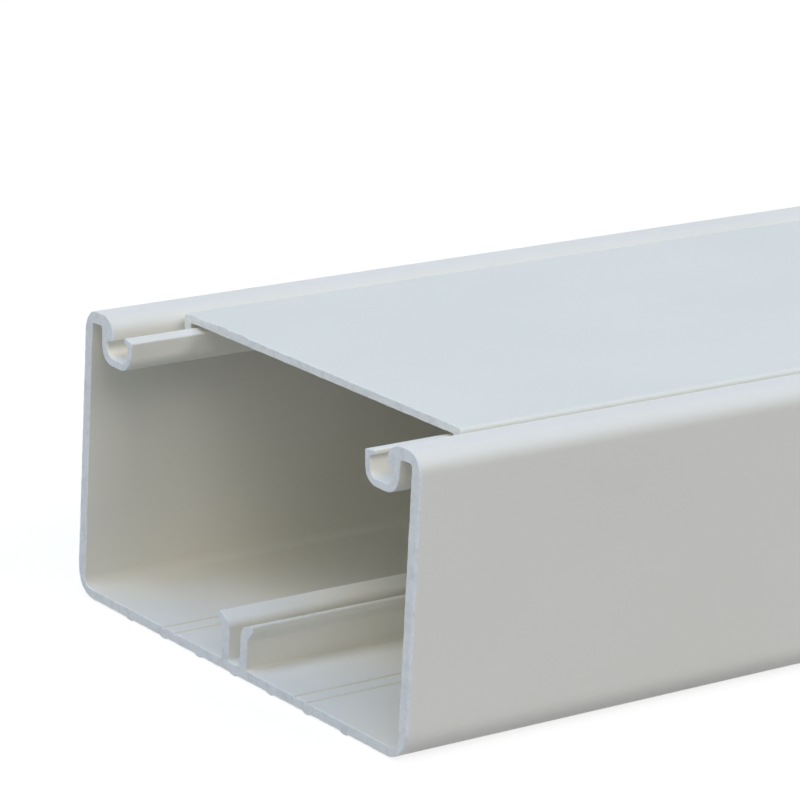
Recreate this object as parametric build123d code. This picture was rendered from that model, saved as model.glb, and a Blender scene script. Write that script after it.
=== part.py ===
from build123d import *
import math
import os

# Cable trunking: an extruded channel and the cover strip that snaps into its two hooks.
# X runs along the length, Y across the width, Z up; the ridge crests of the underside stand on Z = 0
# and X = 0, Y = 0 is the middle of the channel. Millimetres.

# Stock
length = 2000.0
width = 110.0
height = 60.0
fit_gap = 0.3
edge_round = 0.35
root_round = 0.45

# Floor and walls
wall = 2.6
floor_top = 2.4
corner_outer = 6.0
corner_inner = 2.0

# Ridges under the floor
ridge_height = 0.35
ridge_crest = 0.9
ridge_foot = 2.7
ridge_pitch = 12.0
ridges_each_side = 3

# Score lines on the floor, two beside each other on each side of the ribs
score_places = (20.0, 23.9)
score_width = 0.9
score_depth = 0.5

# Twin ribs for a divider
slot_width = 3.7
rib_thickness = 2.3
rib_head_reach = 1.25
rib_head_top = 11.8
rib_head_inner = 10.3
rib_head_under = 10.4
rib_head_root = 9.0
rib_head_round = 0.5
rib_root_round = 1.0
funnel_round = 2.0

# Rolled top edge; reaches are measured from the outer face of the wall inwards
roll_radius = 4.0
nose_reach = 10.1
nose_radius = 3.8
nose_face_bottom = 55.5
nose_root = 54.9
roll_slot_top = 57.5
roll_slot_round = 0.8

# Snap hook hanging from the roll
leg_top_reach = 6.1
leg_foot_reach = 6.5
leg_thickness = 1.6
hook_bottom = 50.3
hook_thickness = 1.6
hook_outer = 3.6
tip_foot_reach = 16.2
tip_top_reach = 16.8
tip_thickness = 1.4
tip_top = 57.05
tip_slope = 0.5
tip_round = 0.4
bead_reach = 1.4
bead_height = 1.0
bead_drop = 0.5

# Cover strip
lid_top = 59.55
lid_thickness = 1.7
lid_setback = 16.4
lid_side_gap = 0.8
lid_shoulder = 58.0
lid_leg_lean = 0.1
lid_leg_thickness = 2.1
lid_round = 0.4
lid_edge_round = 1.0
barb_reach = 2.3
barb_height = 0.6
barb_round = 0.2
foot_width = 1.5

half = width / 2


def outline(corners):
    """Closed face through corners (y, z, radius), each corner with a radius rounded by a tangent arc."""
    count = len(corners)
    ends = []
    for i in range(count):
        y, z, radius = corners[i]
        here = Vector(y, z)
        back = (Vector(*corners[i - 1][:2]) - here).normalized()
        ahead = (Vector(*corners[(i + 1) % count][:2]) - here).normalized()
        if radius == 0:
            ends.append((here, None, here))
            continue
        turn = math.acos(max(-1.0, min(1.0, back.dot(ahead)))) / 2
        run = radius / math.tan(turn)
        bisector = (back + ahead).normalized()
        middle = here + bisector * (radius / math.sin(turn) - radius)
        ends.append((here + back * run, middle, here + ahead * run))
    edges = []
    for i in range(count):
        start, middle, end = ends[i]
        if middle is not None:
            edges.append(ThreePointArc(start, middle, end))
        edges.append(Line(end, ends[(i + 1) % count][0]))
    return make_face(edges)


def mirrored(right):
    """The corners of the half with positive Y, followed by their mirror images in reverse order."""
    return right + [(-y, z, radius) for y, z, radius in reversed(right)]


def underside():
    """Ridged underside from the middle out to the bottom corner."""
    corners = [(ridge_crest / 2, 0, 0), (ridge_foot / 2, ridge_height, 0)]
    for i in range(1, ridges_each_side + 1):
        place = i * ridge_pitch
        corners.append((place - ridge_foot / 2, ridge_height, 0))
        corners.append((place - ridge_crest / 2, 0, 0))
        corners.append((place + ridge_crest / 2, 0, 0))
        corners.append((place + ridge_foot / 2, ridge_height, 0))
    corners.append((half, ridge_height, corner_outer))
    return corners


def snap_edge():
    """Rolled top edge with its nose, then the J hook with its bead, back to the inside of the wall."""
    leg_inner = half - leg_foot_reach - leg_thickness
    tip_foot = half - tip_foot_reach
    tip_end = half - tip_top_reach
    tip_inner = tip_end + tip_thickness
    hook_floor = hook_bottom + hook_thickness
    hook_inner = hook_outer - hook_thickness
    return [
        (half, height, roll_radius),
        (half - nose_reach, height, nose_radius),
        (half - nose_reach, nose_face_bottom, edge_round),
        (leg_inner, nose_root, edge_round),
        (leg_inner, hook_floor, hook_inner),
        (tip_foot + tip_thickness, hook_floor, hook_inner),
        (tip_inner, tip_top - bead_height - bead_drop, edge_round),
        (tip_inner + bead_reach, tip_top - bead_height, edge_round),
        (tip_inner + bead_reach, tip_top, edge_round),
        (tip_end, tip_top - tip_slope, tip_round),
        (tip_foot, hook_bottom, hook_outer),
        (half - leg_foot_reach, hook_bottom, hook_outer),
        (half - leg_top_reach, roll_slot_top, roll_slot_round),
        (half - wall, roll_slot_top, roll_slot_round),
    ]


def floor_inside():
    """Inner wall foot, score lines and one rib with its funnel-shaped head, in to the divider slot."""
    corners = [(half - wall, floor_top, corner_inner)]
    for place in reversed(score_places):
        corners.append((place + score_width / 2, floor_top, 0))
        corners.append((place, floor_top - score_depth, 0))
        corners.append((place - score_width / 2, floor_top, 0))
    slot_face = slot_width / 2
    rib_face = slot_face + rib_thickness
    head_edge = rib_face + rib_head_reach
    corners.append((rib_face, floor_top, root_round))
    corners.append((rib_face, rib_head_root, rib_root_round))
    corners.append((head_edge, rib_head_under, rib_head_round))
    corners.append((head_edge, rib_head_top, rib_head_round))
    corners.append((slot_face, rib_head_inner, funnel_round))
    corners.append((slot_face, floor_top, root_round))
    return corners


def base_channel():
    """The channel, extruded over the full length."""
    section = outline(mirrored(underside() + snap_edge() + floor_inside()))
    return extrude(Plane.YZ.offset(-length / 2) * section, amount=length)


def lid():
    """The cover strip: a flat plate with a barbed leg under each edge, set back along the channel."""
    edge = half - nose_reach - lid_side_gap
    leg_outer = edge - lid_leg_lean
    leg_inner = leg_outer - lid_leg_thickness
    foot = hook_bottom + hook_thickness + fit_gap
    barb_edge = leg_outer + barb_reach
    nose_slope = (nose_face_bottom - nose_root) / (nose_reach - leg_foot_reach - leg_thickness)
    barb_root = nose_face_bottom - fit_gap
    barb_top = barb_root - nose_slope * (barb_edge - half + nose_reach)
    right = [
        (leg_inner, lid_top - lid_thickness, lid_round),
        (leg_inner, foot, lid_round),
        (leg_inner + foot_width, foot, lid_round),
        (barb_edge, barb_top - barb_height, barb_round),
        (barb_edge, barb_top, barb_round),
        (leg_outer, barb_root, barb_round),
        (edge, lid_shoulder, lid_round),
        (edge, lid_top, lid_edge_round),
    ]
    strip = extrude(Plane.YZ.offset(-length / 2) * outline(mirrored(right)), amount=length)
    return Pos(lid_setback, 0, 0) * strip


os.makedirs("parts", exist_ok=True)
export_step(base_channel(), "parts/base_channel.step")
export_step(lid(), "parts/lid.step")
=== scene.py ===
import math

import bpy
import numpy as np
from bpy.props import FloatProperty, FloatVectorProperty, PointerProperty
from mathutils import Matrix, Vector


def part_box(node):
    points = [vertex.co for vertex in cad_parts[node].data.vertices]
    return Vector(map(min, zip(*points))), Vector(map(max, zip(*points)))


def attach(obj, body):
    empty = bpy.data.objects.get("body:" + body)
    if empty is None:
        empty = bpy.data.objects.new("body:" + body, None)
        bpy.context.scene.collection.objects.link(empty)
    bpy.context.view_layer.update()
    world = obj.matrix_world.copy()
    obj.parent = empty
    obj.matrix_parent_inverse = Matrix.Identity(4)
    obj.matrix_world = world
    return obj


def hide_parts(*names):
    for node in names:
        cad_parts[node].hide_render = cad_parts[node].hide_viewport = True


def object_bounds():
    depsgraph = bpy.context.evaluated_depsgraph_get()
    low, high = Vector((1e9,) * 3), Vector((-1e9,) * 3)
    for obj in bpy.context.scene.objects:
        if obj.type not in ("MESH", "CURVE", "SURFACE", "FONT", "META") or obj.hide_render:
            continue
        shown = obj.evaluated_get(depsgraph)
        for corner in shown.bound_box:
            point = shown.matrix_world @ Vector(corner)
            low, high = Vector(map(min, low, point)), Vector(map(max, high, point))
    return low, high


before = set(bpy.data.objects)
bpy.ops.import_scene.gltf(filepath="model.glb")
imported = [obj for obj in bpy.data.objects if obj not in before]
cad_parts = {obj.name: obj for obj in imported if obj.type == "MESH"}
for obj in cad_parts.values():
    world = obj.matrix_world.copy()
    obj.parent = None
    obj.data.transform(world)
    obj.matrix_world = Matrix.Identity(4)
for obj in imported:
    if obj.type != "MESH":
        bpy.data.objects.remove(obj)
CAD_LOW, CAD_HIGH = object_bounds()

bl_info = {
    "name": "Cable trunking",
    "version": (1, 0, 0),
    "blender": (4, 5, 0),
    "location": "View3D > Sidebar > Trunking",
    "description": "Dresses a length of plastic cable trunking and its snap-in lid",
    "category": "Object",
}

MM = 0.001
CHANNEL_LOW, CHANNEL_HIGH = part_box("base_channel")
LID_LOW, LID_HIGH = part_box("lid")
# Foot of the near end, from which the lamps' aim and the camera's place are measured
NEAR_FOOT = Vector((CHANNEL_LOW.x, 0, CAD_LOW.z))

# Outlines: ridges on each side of the middle one, steps in an arc, and how near two points count as one
RIDGES_EACH_SIDE = 3
ARC_STEPS = 12
SAME_PLACE = 1e-7
# Sawn ends: length of a broken edge per width, and the band of a wall that counts as its outside
EDGE_RUN = 1.3
OUTSIDE_BAND = 2 * MM
# Raggedness of a broken edge: lengths of its waves, their shares, and the seed of each piece's phases
RAG_WAVES = np.array([11, 5.3, 2.7, 1.5]) * MM
RAG_SHARES = np.array([0.3, 0.3, 0.25, 0.15])
CHANNEL_SEED = 11
LID_SEED = 23
# Burrs: power with which a tooth breaks off at its end, and how near the top face a lifted point lies
BURR_BREAK = 10
TOP_BAND = 0.01 * MM
# Angle between two faces from which their edge is shaded sharp
SHARP_ANGLE = math.radians(35)

# Plastic: index of refraction, specular level, and what its marks multiply its colour by
PVC_IOR = 1.53
PVC_SPECULAR = 0.5
SMEAR_TINT = (0.985, 0.98, 0.965)
STREAK_TINT = 0.985
TORN_TINT = 0.88
# The score lines' tint is painted shade: it darkens the floor's colour where their grooves lie.
SCORE_SHADE_TINT = (0.8, 0.76, 0.64)
# Least and most that a smear adds to the roughness
SMEAR_ROUGHNESS = (-0.03, 0.06)
# Painted shade in a score line, a darker tint that stands in for the groove's shadow: its strength, where it
# starts to fade and where it ends in widths from the middle, and how low and how high it is laid, as shares
# of the line's depth and of the floor's height
SCORE_SHADE_STRENGTH = 0.6
SCORE_SHADE_FADE = (0.3, 0.65)
SCORE_SHADE_BELOW = 1.1
SCORE_SHADE_ABOVE = 1.01
# Scale of the die lines along x, y and z, and turn and scale of the saw's strokes
DIE_LINE_SCALE = (0.004, 1, 1)
STROKE_TURN = (math.radians(28), 0, 0)
STROKE_SCALE = (0, 0.12, 1)

# Floor: half its side in metres, its roughness, and its own colour and glow where it is seen
FLOOR_REACH = 60
FLOOR_ROUGHNESS = 0.9
FLOOR_SEEN = (0.26, 0.26, 0.26)
FLOOR_GLOW = 0.84
# Room light from straight overhead
ROOM_LIGHT = (0.072, 0.09, 0.108)
# Camera: width of the sensor in millimetres, and the nearest and farthest that it sees in metres
SENSOR_WIDTH = 36
CLIP_START, CLIP_END = 0.05, 200


def size(name, description, millimetres):
    """A length that the user can change, stated here in millimetres and kept in metres."""
    return FloatProperty(
        name=name, description=description, default=millimetres * MM, unit="LENGTH", precision=5)


def colour(name, description, rgb):
    """A scene-linear colour that the user can change."""
    return FloatVectorProperty(
        name=name, description=description, default=rgb, subtype="COLOR", size=3, min=0, max=1)


def share(name, description, default):
    """A plain number from nought to one."""
    return FloatProperty(name=name, description=description, default=default, min=0, max=1)


class ChannelSizes(bpy.types.PropertyGroup):
    """Section of the channel. Reaches run in from the outer face of a wall, heights up from the underside."""

    wall: size("Wall", "Thickness of the walls", 2.6)
    floor_top: size("Floor top", "Height of the inner floor", 2.4)
    corner_outer: size("Outer corner", "Outer radius at the foot of a wall", 6.0)
    corner_inner: size("Inner corner", "Inner radius at the foot of a wall", 2.0)
    ridge_height: size("Ridge height", "Height of the ridges under the floor", 0.35)
    ridge_crest: size("Ridge crest", "Width of a ridge at its crest", 0.9)
    ridge_foot: size("Ridge foot", "Width of a ridge at its foot", 2.7)
    ridge_pitch: size("Ridge pitch", "Distance from ridge to ridge", 12.0)
    score_inner: size("Inner score", "Distance of the inner score line from the middle", 20.0)
    score_outer: size("Outer score", "Distance of the outer score line from the middle", 23.9)
    score_width: size("Score width", "Width of a score line", 0.9)
    score_depth: size("Score depth", "Depth of a score line", 0.5)
    slot_width: size("Divider slot", "Gap between the twin ribs", 3.7)
    rib_thickness: size("Rib", "Thickness of a rib", 2.3)
    rib_head_reach: size("Rib head reach", "How far a rib's head stands out", 1.55)
    rib_head_top: size("Rib head top", "Height of a rib's outer edge", 12.1)
    rib_head_inner: size("Rib head inner edge", "Height of a rib's head at the slot", 10.3)
    rib_head_under: size("Rib head underside", "Height of the head's lower edge", 10.4)
    rib_head_root: size("Rib head root", "Height where the head leaves the rib", 8.4)
    rib_head_round: size("Rib head round", "Radius of the head's outer edges", 0.5)
    rib_root_round: size("Rib root round", "Radius under a rib's head", 1.0)
    funnel_round: size("Funnel round", "Radius where a rib's head turns down into the slot", 2.0)
    roll_radius: size("Roll radius", "Outer radius of the rolled top edge", 4.0)
    nose_reach: size("Nose reach", "Reach of the roll's nose", 10.1)
    nose_radius: size("Nose radius", "Radius at the top of the nose", 3.8)
    nose_face_bottom: size("Nose face bottom", "Height of the nose's lower edge", 55.5)
    nose_root: size("Nose root", "Height where the nose meets the hook's leg", 54.9)
    roll_slot_top: size("Roll slot top", "Top of the gap behind the hook's leg", 57.5)
    roll_slot_round: size("Roll slot round", "Radius at the top of that gap", 0.8)
    leg_top_reach: size("Leg top reach", "Reach of the hook's leg at the top", 6.1)
    leg_foot_reach: size("Leg foot reach", "Reach of the hook's leg at the foot", 6.5)
    leg_thickness: size("Leg", "Thickness of the hook's leg", 1.6)
    hook_bottom: size("Hook bottom", "Height of the hook's lowest line", 50.3)
    hook_thickness: size("Hook", "Thickness of the hook's bottom", 1.6)
    hook_outer: size("Hook outer radius", "Outer radius of the hook's bends", 3.6)
    tip_foot_reach: size("Tip foot reach", "Reach of the hook's free side at its foot", 16.2)
    tip_top_reach: size("Tip top reach", "Reach of the hook's free side at its top", 16.8)
    tip_thickness: size("Tip", "Thickness of the hook's free side", 1.4)
    tip_top: size("Tip top", "Height of the hook's free edge", 57.2)
    tip_slope: size("Tip slope", "How far the free edge falls away from the bead", 0.5)
    tip_round: size("Tip round", "Outer radius of the free edge", 0.4)
    bead_reach: size("Bead reach", "How far the bead stands in from the free side", 1.4)
    bead_height: size("Bead height", "Height of the bead's face", 1.0)
    bead_drop: size("Bead drop", "Slope of the bead's underside", 0.5)
    edge_round: size("Edge round", "Radius of the small outer edges", 0.35)
    root_round: size("Root round", "Radius of the small inner corners", 0.45)


class LidSizes(bpy.types.PropertyGroup):
    """Section of the lid."""

    fit_gap: size("Fit gap", "Clearance between the lid's legs and the hooks", 0.3)
    side_gap: size("Side gap", "Clearance between the lid's edges and the rolled edges", 0.8)
    thickness: size("Plate", "Thickness of the lid's plate", 1.7)
    shoulder: size("Shoulder", "Height of the lower edge of the lid's side", 58.0)
    leg_lean: size("Leg lean", "How far the leg leans in from the lid's edge", 0.1)
    leg_thickness: size("Leg", "Thickness of a leg", 2.1)
    barb_reach: size("Barb reach", "How far the barb stands out from the leg", 2.3)
    barb_height: size("Barb height", "Height of the barb's edge", 0.6)
    foot_width: size("Foot width", "Width of the leg's flat foot", 1.5)
    edge_round: size("Edge round", "Radius of the small edges", 0.4)
    barb_round: size("Barb round", "Radius of the barb's edges", 0.2)
    top_round: size("Top round", "Radius along the lid's top edges", 1.0)


class CutSizes(bpy.types.PropertyGroup):
    """How the ends were sawn."""

    bevel: size("Bevel", "Width of the broken edge round a sawn end", 0.12)
    outer_bevel: size("Outer bevel", "Further width of the broken edge on the outside of the walls", 0.25)
    rag: size("Rag", "Unevenness of that width", 0.08)
    spacing: size("Outline spacing", "Longest step between points of an outline", 0.4)
    lid_slant: size("Lid slant", "How far the lid's near end is sawn out of square over its width", 1.15)
    burr_first: size("First burr", "Distance of the first burr from the lid's middle", 35.4)
    burr_second: size("Second burr", "Distance of the second burr from the lid's middle", 29.0)
    burr_length: size("Burr length", "Length of a burr along the lid's end", 6.2)
    burr_height: size("Burr height", "Height of a burr above the lid", 0.3)
    burr_depth: size("Burr depth", "Depth of a burr behind the sawn end", 0.6)


class Finish(bpy.types.PropertyGroup):
    """Colours and gloss of the plastic."""

    channel_colour: colour("Channel", "Colour of the channel's plastic", (0.90, 0.87, 0.79))
    lid_colour: colour("Lid", "Colour of the lid's plastic", (0.855, 0.85, 0.775))
    # The sawn faces' pale bluish white is partly the whitening of sawn plastic and partly painted cool light,
    # the blue of the light falling on the ends.
    channel_cut: colour("Channel's cut ends", "Colour of the channel's sawn faces", (0.88, 0.89, 0.9))
    lid_cut: colour("Lid's cut ends", "Colour of the lid's sawn faces", (0.93, 0.935, 0.92))
    roughness: share("Roughness", "Roughness of the extruded skin", 0.52)
    cut_roughness: share("Cut roughness", "Roughness of the sawn faces", 0.62)


class StageLook(bpy.types.PropertyGroup):
    """Floor, lamps and camera."""

    floor_colour: colour("Floor", "Colour of the floor", (0.5, 0.5, 0.5))
    lamp_size: size("Lamp size", "Side of a lamp", 3900)
    lamp_distance: size("Lamp distance", "Distance of the lamps from the point that they face", 7500)
    lamp_aim: FloatVectorProperty(
        name="Lamp aim", description="Point that the lamps face, from the foot of the near end",
        default=(0.05, 0, 0.03), subtype="TRANSLATION", size=3)
    camera_place: FloatVectorProperty(
        name="Camera place", description="Camera's place, from the foot of the near end",
        default=(-0.4634, -0.6435, 0.2957), subtype="TRANSLATION", size=3)
    camera_azimuth: FloatProperty(
        name="Camera azimuth", description="Direction of view, turned from the length towards the width",
        default=math.radians(52.114), subtype="ANGLE")
    camera_elevation: FloatProperty(
        name="Camera elevation", description="How far the view points down",
        default=math.radians(16.754), subtype="ANGLE")
    camera_roll: FloatProperty(
        name="Camera roll", description="Turn of the picture about the line of sight",
        default=math.radians(-2.912), subtype="ANGLE")
    camera_lens: FloatProperty(
        name="Camera lens", description="Focal length on a 36 mm sensor",
        default=197.13, subtype="DISTANCE_CAMERA")


# Outlines and meshes


def unit(v):
    """Rows of v scaled to length one."""
    return v / np.linalg.norm(v, axis=-1, keepdims=True)


def mirrored(right):
    """Corners (y, z, radius) of the half with positive y, then their mirror images in reverse order."""
    right = np.array(right, float)
    return np.concatenate([right, right[::-1] * (-1, 1, 1)])


def rounded(corners):
    """Closed outline through corners (y, z, radius) with each corner rounded.

    An arc's centre lies on the corner's bisector, at radius / sin(half the corner's angle) from the corner,
    and the arc turns from the tangent point on the side before to the tangent point on the side after.
    """
    place, radius = corners[:, :2], corners[:, 2:]
    back = unit(np.roll(place, 1, 0) - place)
    ahead = unit(np.roll(place, -1, 0) - place)
    half = np.arccos(np.clip((back * ahead).sum(1, keepdims=True), -1, 1)) / 2
    run = radius / np.tan(half)
    centre = place + unit(back + ahead) * radius / np.sin(half)
    start, end = place + back * run - centre, place + ahead * run - centre
    cross = start[:, 0] * end[:, 1] - start[:, 1] * end[:, 0]
    sweep = np.arctan2(cross, (start * end).sum(1))
    turn = sweep[:, None] * np.linspace(0, 1, ARC_STEPS)
    cos, sin = np.cos(turn), np.sin(turn)
    y = centre[:, :1] + start[:, :1] * cos - start[:, 1:] * sin
    z = centre[:, 1:] + start[:, :1] * sin + start[:, 1:] * cos
    points = np.stack([y, z], -1).reshape(-1, 2)
    apart = np.linalg.norm(points - np.roll(points, 1, 0), axis=1) > SAME_PLACE
    return points[apart]


def divided(points, spacing):
    """The closed outline with each side longer than spacing divided into equal steps."""
    ahead = np.roll(points, -1, 0) - points
    counts = np.ceil(np.linalg.norm(ahead, axis=1) / spacing).astype(int)
    owner = np.repeat(np.arange(len(points)), counts)
    first = np.repeat(np.cumsum(counts) - counts, counts)
    part = (np.arange(len(owner)) - first) / counts[owner]
    return points[owner] + ahead[owner] * part[:, None]


def raggedness(points, seed):
    """Uneven offset along an outline, about -1 to 1.

    It is a sum of sines of the distance along the outline, each with a whole number of cycles and a phase
    drawn from the seed.
    """
    steps = np.linalg.norm(points - np.roll(points, 1, 0), axis=1)
    along = np.cumsum(steps)
    draw = np.random.default_rng(seed)
    cycles = np.round(along[-1] / RAG_WAVES)
    phase = draw.uniform(0, 2 * math.pi, len(cycles))
    waves = np.sin(2 * math.pi * cycles * along[:, None] / along[-1] + phase)
    return waves @ RAG_SHARES


def burrs(points, cut, top):
    """Height of the saw's burrs above the top face: two teeth along y, one after the other.

    A tooth grows with the root of the distance t along it and breaks off at its end:
    height * t^0.5 * (1 - t^BURR_BREAK).
    """
    starts = np.array([cut.burr_first, cut.burr_second])
    t = np.clip((starts - points[:, :1]) / cut.burr_length, 0, 1)
    teeth = cut.burr_height * np.sqrt(t) * (1 - t ** BURR_BREAK)
    return teeth.sum(1) * (points[:, 1] > top - TOP_BAND)


def broken_edge(points, cut, seed):
    """Width of the broken edge round a sawn end.

    It is the bevel, plus the outer bevel on the outside of the channel's walls, plus the rag times the
    raggedness.
    """
    outside = np.clip((np.abs(points[:, 0]) - CHANNEL_HIGH.y) / OUTSIDE_BAND + 1, 0, 1)
    return cut.bevel + cut.outer_bevel * outside + cut.rag * raggedness(points, seed)


def ringed_mesh(name, rings):
    """Mesh through rings of vertices along x, with a flat face at each end.

    A vertex is joined to the next one on its ring and to its like on the next ring. The first and the last
    band and the two end faces are sawn, so they take the second material. The rings are shaded sharp.
    """
    count = rings.shape[1]
    index = np.arange(len(rings) * count).reshape(-1, count)
    ahead = np.roll(index, -1, 1)
    sides = np.stack([index[:-1], ahead[:-1], ahead[1:], index[1:]], -1).reshape(-1, 4)
    loops = np.concatenate([sides.ravel(), index[0][::-1], index[-1]])
    starts = np.append(np.arange(len(sides)) * 4, [len(sides) * 4, len(sides) * 4 + count])
    mesh = bpy.data.meshes.new(name)
    mesh.vertices.add(index.size)
    mesh.vertices.foreach_set("co", rings.astype(np.float32).ravel())
    mesh.loops.add(len(loops))
    mesh.loops.foreach_set("vertex_index", loops.astype(np.int32))
    mesh.polygons.add(len(starts))
    mesh.polygons.foreach_set("loop_start", starts.astype(np.int32))
    band = np.arange(len(starts)) // count
    sawn = (band == 0) | (band >= len(rings) - 2)
    mesh.polygons.foreach_set("material_index", sawn.astype(np.int32))
    mesh.update(calc_edges=True)
    mesh.validate()
    mesh.set_sharp_from_angle(angle=SHARP_ANGLE)
    edge_ends = np.empty(len(mesh.edges) * 2, np.int32)
    sharp = np.empty(len(mesh.edges), bool)
    mesh.edges.foreach_get("vertices", edge_ends)
    mesh.edges.foreach_get("use_edge_sharp", sharp)
    ring = edge_ends.reshape(-1, 2) // count
    mesh.edges.foreach_set("use_edge_sharp", sharp | (ring[:, 0] == ring[:, 1]))
    return mesh


def extrusion(name, points, low, high, cut, seed, burr, slant):
    """A closed outline in y and z carried straight along x from low to high, with flat sawn ends.

    At an end the outline is drawn in along its own normal by the width of the broken edge, and its full size
    starts EDGE_RUN times that width further along. At the low end a burr lifts both outlines and dies away
    over its own depth, and a point lies further along by the slant times its share of the way from the side
    of high y to that of low y.
    """
    tangent = unit(np.roll(points, -1, 0) - np.roll(points, 1, 0))
    inward = np.stack([-tangent[:, 1], tangent[:, 0]], 1)
    first, last = broken_edge(points, cut, seed), broken_edge(points, cut, seed + 1)
    none = np.zeros(len(points))
    low_end = low + slant * (points[:, 0].max() - points[:, 0]) / np.ptp(points[:, 0])
    low_edge, high_edge = low_end + EDGE_RUN * first, high - EDGE_RUN * last
    along = np.stack([low_end, low_edge, low_edge + cut.burr_depth, high_edge, none + high])
    drawn_in = points + inward * np.stack([first - burr, none - burr, none, none, last])[..., None]
    mesh = ringed_mesh(name, np.concatenate([along[..., None], drawn_in], -1))
    piece = bpy.data.objects.new(name, mesh)
    bpy.context.scene.collection.objects.link(piece)
    return piece


# Sections


def channel_corners(s):
    """Corners of the channel's section: underside, wall, roll, hook, floor and rib of one half, mirrored."""
    half, height = CHANNEL_HIGH.y, CHANNEL_HIGH.z
    ridges = np.arange(1, RIDGES_EACH_SIDE + 1)[:, None] * s.ridge_pitch
    steps = np.array([-s.ridge_foot, -s.ridge_crest, s.ridge_crest, s.ridge_foot]) / 2
    ridge_y = np.append(np.array([s.ridge_crest, s.ridge_foot]) / 2, (ridges + steps).ravel())
    one_ridge = [s.ridge_height, 0, 0, s.ridge_height]
    ridge_z = np.append([0, s.ridge_height], np.tile(one_ridge, RIDGES_EACH_SIDE))
    underside = np.stack([ridge_y, ridge_z, np.zeros(len(ridge_y))], 1)
    edge, root = s.edge_round, s.root_round
    leg_inner = half - s.leg_foot_reach - s.leg_thickness
    tip_foot, tip_end = half - s.tip_foot_reach, half - s.tip_top_reach
    tip_inner = tip_end + s.tip_thickness
    hook_floor = s.hook_bottom + s.hook_thickness
    hook_inner = s.hook_outer - s.hook_thickness
    wall_and_hook = [
        (half, s.ridge_height, s.corner_outer),
        (half, height, s.roll_radius),
        (half - s.nose_reach, height, s.nose_radius),
        (half - s.nose_reach, s.nose_face_bottom, edge),
        (leg_inner, s.nose_root, edge),
        (leg_inner, hook_floor, hook_inner),
        (tip_foot + s.tip_thickness, hook_floor, hook_inner),
        (tip_inner, s.tip_top - s.bead_height - s.bead_drop, edge),
        (tip_inner + s.bead_reach, s.tip_top - s.bead_height, edge),
        (tip_inner + s.bead_reach, s.tip_top, edge),
        (tip_end, s.tip_top - s.tip_slope, s.tip_round),
        (tip_foot, s.hook_bottom, s.hook_outer),
        (half - s.leg_foot_reach, s.hook_bottom, s.hook_outer),
        (half - s.leg_top_reach, s.roll_slot_top, s.roll_slot_round),
        (half - s.wall, s.roll_slot_top, s.roll_slot_round),
        (half - s.wall, s.floor_top, s.corner_inner),
    ]
    scores = np.array([s.score_outer, s.score_inner])[:, None]
    score_y = (scores + np.array([1, 0, -1]) * s.score_width / 2).ravel()
    score_z = np.tile([s.floor_top, s.floor_top - s.score_depth, s.floor_top], len(scores))
    score_lines = np.stack([score_y, score_z, np.zeros(len(score_y))], 1)
    slot_face = s.slot_width / 2
    rib_face = slot_face + s.rib_thickness
    head_edge = rib_face + s.rib_head_reach
    rib = [
        (rib_face, s.floor_top, root),
        (rib_face, s.rib_head_root, s.rib_root_round),
        (head_edge, s.rib_head_under, s.rib_head_round),
        (head_edge, s.rib_head_top, s.rib_head_round),
        (slot_face, s.rib_head_inner, s.funnel_round),
        (slot_face, s.floor_top, root),
    ]
    return mirrored(np.concatenate([underside, wall_and_hook, score_lines, rib]))


def lid_corners(s, c):
    """Corners of the lid's section: plate, leg and barb of one half, mirrored. c has the channel's sizes."""
    half = CHANNEL_HIGH.y
    top = LID_HIGH.z
    edge = half - c.nose_reach - s.side_gap
    leg_outer = edge - s.leg_lean
    leg_inner = leg_outer - s.leg_thickness
    foot = c.hook_bottom + c.hook_thickness + s.fit_gap
    barb_edge = leg_outer + s.barb_reach
    nose_slope = (c.nose_face_bottom - c.nose_root) / (c.nose_reach - c.leg_foot_reach - c.leg_thickness)
    barb_root = c.nose_face_bottom - s.fit_gap
    barb_top = barb_root - nose_slope * (barb_edge - half + c.nose_reach)
    return mirrored([
        (leg_inner, top - s.thickness, s.edge_round),
        (leg_inner, foot, s.edge_round),
        (leg_inner + s.foot_width, foot, s.edge_round),
        (barb_edge, barb_top - s.barb_height, s.barb_round),
        (barb_edge, barb_top, s.barb_round),
        (leg_outer, barb_root, s.barb_round),
        (edge, s.shoulder, s.edge_round),
        (edge, top, s.top_round),
    ])


# Node helpers and shared effects


def put(tree, kind, sockets=None, **settings):
    """A new node of a kind, with its settings and the plain values or links of its named input sockets."""
    made = tree.nodes.new(kind)
    for key, value in settings.items():
        setattr(made, key, value)
    for key, value in (sockets or {}).items():
        if isinstance(value, bpy.types.NodeSocket):
            tree.links.new(value, made.inputs[key])
        else:
            made.inputs[key].default_value = value
    return made


def new_group(name, inputs, outputs):
    """An empty node group with float inputs (name: default) and float outputs, and its two end nodes."""
    tree = bpy.data.node_groups.new(name, "ShaderNodeTree")
    for key, value in inputs.items():
        socket = tree.interface.new_socket(key, in_out="INPUT", socket_type="NodeSocketFloat")
        socket.default_value = value
    for key in outputs:
        tree.interface.new_socket(key, in_out="OUTPUT", socket_type="NodeSocketFloat")
    return tree, tree.nodes.new("NodeGroupInput"), tree.nodes.new("NodeGroupOutput")


def die_lines_group():
    """Fine lines that the die leaves along the length: noise over y and z that hardly changes along x."""
    tree, given, result = new_group("die_lines", {"Fineness": 900.0}, ["Height", "Streak"])
    place = put(tree, "ShaderNodeTexCoord").outputs["Object"]
    flat = put(tree, "ShaderNodeVectorMath", {0: place, 1: DIE_LINE_SCALE}, operation="MULTIPLY").outputs[0]
    fine = put(tree, "ShaderNodeTexNoise", {
        "Vector": flat, "Scale": given.outputs["Fineness"], "Detail": 2.0})
    broad = put(tree, "ShaderNodeTexNoise", {"Vector": flat, "Scale": 160.0, "Detail": 1.0})
    tree.links.new(fine.outputs["Fac"], result.inputs["Height"])
    tree.links.new(broad.outputs["Fac"], result.inputs["Streak"])
    return tree


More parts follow.
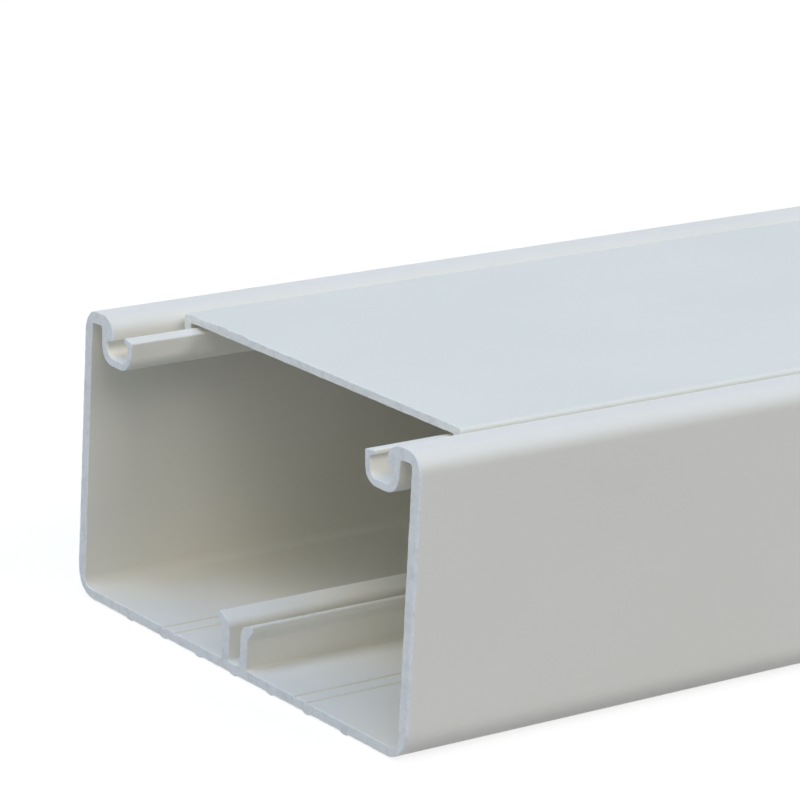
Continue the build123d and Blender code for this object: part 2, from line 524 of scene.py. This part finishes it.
def handling_group():
    """Faint smears of handling: soft blotches broken by finer noise, nought to one."""
    tree, given, result = new_group("handling", {"Size": 22.0}, ["Smear"])
    place = put(tree, "ShaderNodeTexCoord").outputs["Object"]
    blotch = put(tree, "ShaderNodeTexNoise", {
        "Vector": place, "Scale": given.outputs["Size"], "Detail": 5.0, "Roughness": 0.6, "Distortion": 0.4})
    smear = put(tree, "ShaderNodeMapRange", {
        "Value": blotch.outputs["Fac"], "From Min": 0.38, "From Max": 0.68}, interpolation_type="SMOOTHSTEP")
    tree.links.new(smear.outputs["Result"], result.inputs["Smear"])
    return tree


def saw_marks_group():
    """Marks of the saw on a cut face: slanted strokes over y and z, broken by noise, and torn patches."""
    tree, given, result = new_group("saw_marks", {"Spacing": 1500.0}, ["Height", "Torn"])
    place = put(tree, "ShaderNodeTexCoord").outputs["Object"]
    turned = put(tree, "ShaderNodeMapping", {"Vector": place, "Rotation": STROKE_TURN}).outputs[0]
    drawn = put(tree, "ShaderNodeVectorMath", {0: turned, 1: STROKE_SCALE}, operation="MULTIPLY").outputs[0]
    stroke = put(tree, "ShaderNodeTexNoise", {
        "Vector": drawn, "Scale": given.outputs["Spacing"], "Detail": 3.0, "Roughness": 0.65})
    patch = put(tree, "ShaderNodeTexNoise", {
        "Vector": place, "Scale": 420.0, "Detail": 4.0, "Roughness": 0.7})
    torn = put(tree, "ShaderNodeMapRange", {
        "Value": patch.outputs["Fac"], "From Min": 0.42, "From Max": 0.7}, interpolation_type="SMOOTHSTEP")
    height = put(tree, "ShaderNodeMath", {0: stroke.outputs["Fac"], 1: patch.outputs["Fac"]}, operation="ADD")
    tree.links.new(height.outputs[0], result.inputs["Height"])
    tree.links.new(torn.outputs["Result"], result.inputs["Torn"])
    return tree


def shared(name, make):
    """The node group of that name, made the first time it is asked for."""
    return bpy.data.node_groups.get(name) or make()


def new_material(name):
    """A material with an empty node tree, its Principled BSDF and its tree."""
    material = bpy.data.materials.new(name)
    material.use_nodes = True
    tree = material.node_tree
    tree.nodes.clear()
    shader = tree.nodes.new("ShaderNodeBsdfPrincipled")
    output = tree.nodes.new("ShaderNodeOutputMaterial")
    tree.links.new(shader.outputs[0], output.inputs["Surface"])
    return material, tree, shader


def mixed(tree, factor, first, second):
    """Colour that goes from first to second as factor goes from nought to one."""
    mix = put(tree, "ShaderNodeMix", {"Factor": factor}, data_type="RGBA")
    for key, value in (("A", first), ("B", second)):
        socket = [s for s in mix.inputs if s.name == key and s.type == "RGBA"][0]
        if isinstance(value, bpy.types.NodeSocket):
            tree.links.new(value, socket)
        else:
            socket.default_value = (*value, 1)
    return [s for s in mix.outputs if s.type == "RGBA"][0]


def skin_material(name, rgb, roughness):
    """Extruded skin: satin plastic with die lines in its bump and faint smears in its gloss and colour."""
    material, tree, shader = new_material(name)
    lines = put(tree, "ShaderNodeGroup", node_tree=shared("die_lines", die_lines_group))
    marks = put(tree, "ShaderNodeGroup", node_tree=shared("handling", handling_group))
    base = np.array(rgb)
    worn = mixed(tree, marks.outputs["Smear"], tuple(base), tuple(base * SMEAR_TINT))
    streaked = mixed(tree, lines.outputs["Streak"], tuple(base * STREAK_TINT), worn)
    tree.links.new(streaked, shader.inputs["Base Color"])
    least, most = SMEAR_ROUGHNESS
    gloss = put(tree, "ShaderNodeMapRange", {
        "Value": marks.outputs["Smear"], "To Min": roughness + least, "To Max": roughness + most})
    tree.links.new(gloss.outputs["Result"], shader.inputs["Roughness"])
    bump = put(tree, "ShaderNodeBump", {
        "Height": lines.outputs["Height"], "Strength": 0.06, "Distance": 0.2 * MM})
    tree.links.new(bump.outputs["Normal"], shader.inputs["Normal"])
    shader.inputs["IOR"].default_value = PVC_IOR
    shader.inputs["Specular IOR Level"].default_value = PVC_SPECULAR
    return material


def paint_score_shade(material, rgb, s):
    """Painted shade in the floor's score lines: a darker tint near either line's distance from the middle,
    and at their depth.
    """
    tree = material.node_tree
    shader = tree.nodes["Principled BSDF"]
    place = put(tree, "ShaderNodeSeparateXYZ", {
        "Vector": put(tree, "ShaderNodeTexCoord").outputs["Object"]}).outputs

    def number(operation, first, second=0.0):
        return put(tree, "ShaderNodeMath", {0: first, 1: second}, operation=operation).outputs[0]

    aside = number("ABSOLUTE", place["Y"])
    inner = number("ABSOLUTE", number("SUBTRACT", aside, s.score_inner))
    outer = number("ABSOLUTE", number("SUBTRACT", aside, s.score_outer))
    fade_start, fade_end = SCORE_SHADE_FADE
    line = put(tree, "ShaderNodeMapRange", {
        "Value": number("MINIMUM", inner, outer),
        "From Min": s.score_width * fade_start,
        "From Max": s.score_width * fade_end,
        "To Min": SCORE_SHADE_STRENGTH,
        "To Max": 0.0,
    }, interpolation_type="SMOOTHSTEP").outputs["Result"]
    above = number("GREATER_THAN", place["Z"], s.floor_top - s.score_depth * SCORE_SHADE_BELOW)
    below = number("LESS_THAN", place["Z"], s.floor_top * SCORE_SHADE_ABOVE)
    # Painted shade: the colour is darkened in the score lines' grooves.
    shade_mask = number("MULTIPLY", line, number("MULTIPLY", above, below))
    unshaded = shader.inputs["Base Color"].links[0].from_socket
    shade_colour = tuple(np.array(rgb) * SCORE_SHADE_TINT)
    tree.links.new(mixed(tree, shade_mask, unshaded, shade_colour), shader.inputs["Base Color"])


def cut_material(name, rgb, roughness):
    """Sawn face: duller plastic with slanted saw strokes and torn patches."""
    material, tree, shader = new_material(name)
    saw = put(tree, "ShaderNodeGroup", node_tree=shared("saw_marks", saw_marks_group))
    base = np.array(rgb)
    torn = mixed(tree, saw.outputs["Torn"], tuple(base), tuple(base * TORN_TINT))
    tree.links.new(torn, shader.inputs["Base Color"])
    bump = put(tree, "ShaderNodeBump", {
        "Height": saw.outputs["Height"], "Strength": 0.35, "Distance": 0.4 * MM})
    tree.links.new(bump.outputs["Normal"], shader.inputs["Normal"])
    shader.inputs["Roughness"].default_value = roughness
    shader.inputs["IOR"].default_value = PVC_IOR
    shader.inputs["Specular IOR Level"].default_value = PVC_SPECULAR
    return material


# Stage


def seen_share(tree):
    """One where a ray comes from the camera, a gloss or a clear piece, and nought where it carries light."""
    path = put(tree, "ShaderNodeLightPath").outputs
    first = put(tree, "ShaderNodeMath", {
        0: path["Is Camera Ray"], 1: path["Is Glossy Ray"]}, operation="MAXIMUM")
    both = put(tree, "ShaderNodeMath", {
        0: first.outputs[0], 1: path["Is Transmission Ray"]}, operation="MAXIMUM")
    return both.outputs[0]


def floor_material(rgb):
    """Floor that bounces plain light and, where it is seen, is white but for the object's soft shadow."""
    material, tree, shader = new_material("studio_floor")
    seen = seen_share(tree)
    tree.links.new(mixed(tree, seen, rgb, FLOOR_SEEN), shader.inputs["Base Color"])
    white = put(tree, "ShaderNodeMath", {0: seen, 1: FLOOR_GLOW}, operation="MULTIPLY")
    shader.inputs["Emission Color"].default_value = (1, 1, 1, 1)
    tree.links.new(white.outputs[0], shader.inputs["Emission Strength"])
    shader.inputs["Roughness"].default_value = FLOOR_ROUGHNESS
    shader.inputs["Specular IOR Level"].default_value = 0.0
    return material


def studio_world():
    """Faint bluish light from overhead that fades to the horizon, and plain white where the room is seen."""
    world = bpy.data.worlds.new("studio_room")
    bpy.context.scene.world = world
    world.use_nodes = True
    tree = world.node_tree
    tree.nodes.clear()
    place = put(tree, "ShaderNodeTexCoord").outputs["Generated"]
    height = put(tree, "ShaderNodeSeparateXYZ", {"Vector": place}).outputs["Z"]
    rise = put(tree, "ShaderNodeMapRange", {"Value": height, "From Min": -0.05, "From Max": 0.9})
    sky = mixed(tree, rise.outputs["Result"], (0, 0, 0), ROOM_LIGHT)
    light = put(tree, "ShaderNodeBackground", {"Color": sky, "Strength": 1.0})
    white = put(tree, "ShaderNodeBackground", {"Color": (1, 1, 1, 1), "Strength": 1.0})
    blend = put(tree, "ShaderNodeMixShader", {0: seen_share(tree), 1: light.outputs[0], 2: white.outputs[0]})
    output = put(tree, "ShaderNodeOutputWorld")
    tree.links.new(blend.outputs[0], output.inputs["Surface"])


def direction(azimuth, elevation):
    """Unit vector at an azimuth, turned from x towards y, and an elevation above the level."""
    level = math.cos(elevation)
    return Vector((level * math.cos(azimuth), level * math.sin(azimuth), math.sin(elevation)))


def softbox(name, look, azimuth, elevation, power, rgb):
    """A square area lamp that faces the near end. Azimuth and elevation are in degrees, power is in watts."""
    towards = direction(math.radians(azimuth), math.radians(elevation))
    lamp = bpy.data.lights.new(name, "AREA")
    lamp.size = look.lamp_size
    lamp.energy = power
    lamp.color = rgb
    holder = bpy.data.objects.new(name, lamp)
    holder.location = NEAR_FOOT + Vector(look.lamp_aim) + towards * look.lamp_distance
    holder.rotation_euler = towards.to_track_quat("Z", "Y").to_euler()
    bpy.context.scene.collection.objects.link(holder)


def photo_camera(look):
    """Camera at its place. The roll turns right and down about the line of sight, from the level."""
    forward = direction(look.camera_azimuth, -look.camera_elevation)
    level_right = forward.cross(Vector((0, 0, 1))).normalized()
    level_down = forward.cross(level_right)
    cos, sin = math.cos(look.camera_roll), math.sin(look.camera_roll)
    right = level_right * cos + level_down * sin
    down = level_down * cos - level_right * sin
    turn = Matrix((right, -down, -forward)).transposed()
    lens = bpy.data.cameras.new("photo_camera")
    lens.sensor_width = SENSOR_WIDTH
    lens.lens = look.camera_lens
    lens.clip_start, lens.clip_end = CLIP_START, CLIP_END
    holder = bpy.data.objects.new("photo_camera", lens)
    place = NEAR_FOOT + Vector(look.camera_place)
    holder.matrix_world = Matrix.Translation(place) @ turn.to_4x4()
    bpy.context.scene.collection.objects.link(holder)
    bpy.context.scene.camera = holder


# Operators


class TRUNKING_OT_channel(bpy.types.Operator):
    """Make the extruded channel in place of its plain solid"""

    bl_idname = "trunking.channel"
    bl_label = "Channel"

    def execute(self, context):
        scene = context.scene
        finish, cut = scene.trunking_finish, scene.trunking_cut
        sizes = scene.trunking_channel
        points = divided(rounded(channel_corners(sizes)), cut.spacing)
        piece = extrusion(
            "channel_extrusion", points, CHANNEL_LOW.x, CHANNEL_HIGH.x, cut,
            seed=CHANNEL_SEED, burr=0, slant=0)
        skin = skin_material("channel_skin", finish.channel_colour, finish.roughness)
        # Paints shade into the floor's score lines.
        paint_score_shade(skin, finish.channel_colour, sizes)
        piece.data.materials.append(skin)
        piece.data.materials.append(cut_material("channel_cut", finish.channel_cut, finish.cut_roughness))
        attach(piece, "channel")
        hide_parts("base_channel")
        return {"FINISHED"}


class TRUNKING_OT_lid(bpy.types.Operator):
    """Make the extruded lid in place of its plain solid"""

    bl_idname = "trunking.lid"
    bl_label = "Lid"

    def execute(self, context):
        scene = context.scene
        finish, cut = scene.trunking_finish, scene.trunking_cut
        corners = lid_corners(scene.trunking_lid, scene.trunking_channel)
        points = divided(rounded(corners), cut.spacing)
        burr = burrs(points, cut, LID_HIGH.z)
        piece = extrusion(
            "lid_extrusion", points, LID_LOW.x, LID_HIGH.x, cut,
            seed=LID_SEED, burr=burr, slant=cut.lid_slant)
        piece.data.materials.append(skin_material("lid_skin", finish.lid_colour, finish.roughness))
        piece.data.materials.append(cut_material("lid_cut", finish.lid_cut, finish.cut_roughness))
        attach(piece, "cover")
        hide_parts("lid")
        return {"FINISHED"}


class TRUNKING_OT_stage(bpy.types.Operator):
    """Make the floor, the soft light and the camera"""

    bl_idname = "trunking.stage"
    bl_label = "Stage"

    def execute(self, context):
        scene = context.scene
        look = scene.trunking_stage
        scene.view_settings.view_transform = "Standard"
        corners = np.array([(-1, -1, 0), (1, -1, 0), (1, 1, 0), (-1, 1, 0)]) * FLOOR_REACH
        mesh = bpy.data.meshes.new("studio_floor")
        mesh.from_pydata(corners + np.array((0, 0, CAD_LOW.z)), [], [(0, 1, 2, 3)])
        floor = bpy.data.objects.new("studio_floor", mesh)
        floor.data.materials.append(floor_material(look.floor_colour))
        scene.collection.objects.link(floor)
        studio_world()
        softbox("end_light", look, azimuth=165, elevation=65, power=176, rgb=(0.85, 0.9, 1.0))
        softbox("front_light", look, azimuth=200, elevation=20, power=100, rgb=(0.94, 1.0, 0.93))
        softbox("side_light", look, azimuth=240, elevation=45, power=108, rgb=(1.0, 0.95, 0.87))
        softbox("top_light", look, azimuth=270, elevation=88, power=104, rgb=(0.02, 0.35, 1.0))
        softbox("far_side_light", look, azimuth=300, elevation=45, power=160, rgb=(0.98, 0.98, 1.0))
        softbox("back_light", look, azimuth=95, elevation=16, power=72, rgb=(0.9, 0.95, 1.0))
        softbox("far_end_light", look, azimuth=10, elevation=16, power=50, rgb=(0.9, 0.95, 1.0))
        photo_camera(look)
        return {"FINISHED"}


class TRUNKING_PT_sidebar(bpy.types.Panel):
    """Sidebar panel with the pieces and their settings"""

    bl_idname = "TRUNKING_PT_sidebar"
    bl_label = "Cable trunking"
    bl_space_type = "VIEW_3D"
    bl_region_type = "UI"
    bl_category = "Trunking"

    def draw(self, context):
        column = self.layout.column()
        for operator in (TRUNKING_OT_channel, TRUNKING_OT_lid, TRUNKING_OT_stage):
            column.operator(operator.bl_idname)
        for key, group in SETTINGS.items():
            box = self.layout.box()
            for field in group.__annotations__:
                box.prop(getattr(context.scene, key), field)


SETTINGS = {
    "trunking_channel": ChannelSizes,
    "trunking_lid": LidSizes,
    "trunking_cut": CutSizes,
    "trunking_finish": Finish,
    "trunking_stage": StageLook,
}
CLASSES = (
    *SETTINGS.values(), TRUNKING_OT_channel, TRUNKING_OT_lid, TRUNKING_OT_stage, TRUNKING_PT_sidebar)


def register():
    """Register the classes and give the scene their settings."""
    for cls in CLASSES:
        bpy.utils.register_class(cls)
    for key, group in SETTINGS.items():
        setattr(bpy.types.Scene, key, PointerProperty(type=group))


def unregister():
    """Take the settings off the scene and the classes out again."""
    for key in SETTINGS:
        delattr(bpy.types.Scene, key)
    for cls in reversed(CLASSES):
        bpy.utils.unregister_class(cls)


def main():
    register()
    bpy.ops.trunking.channel()
    bpy.ops.trunking.lid()
    bpy.ops.trunking.stage()


if __name__ == "__main__":
    main()
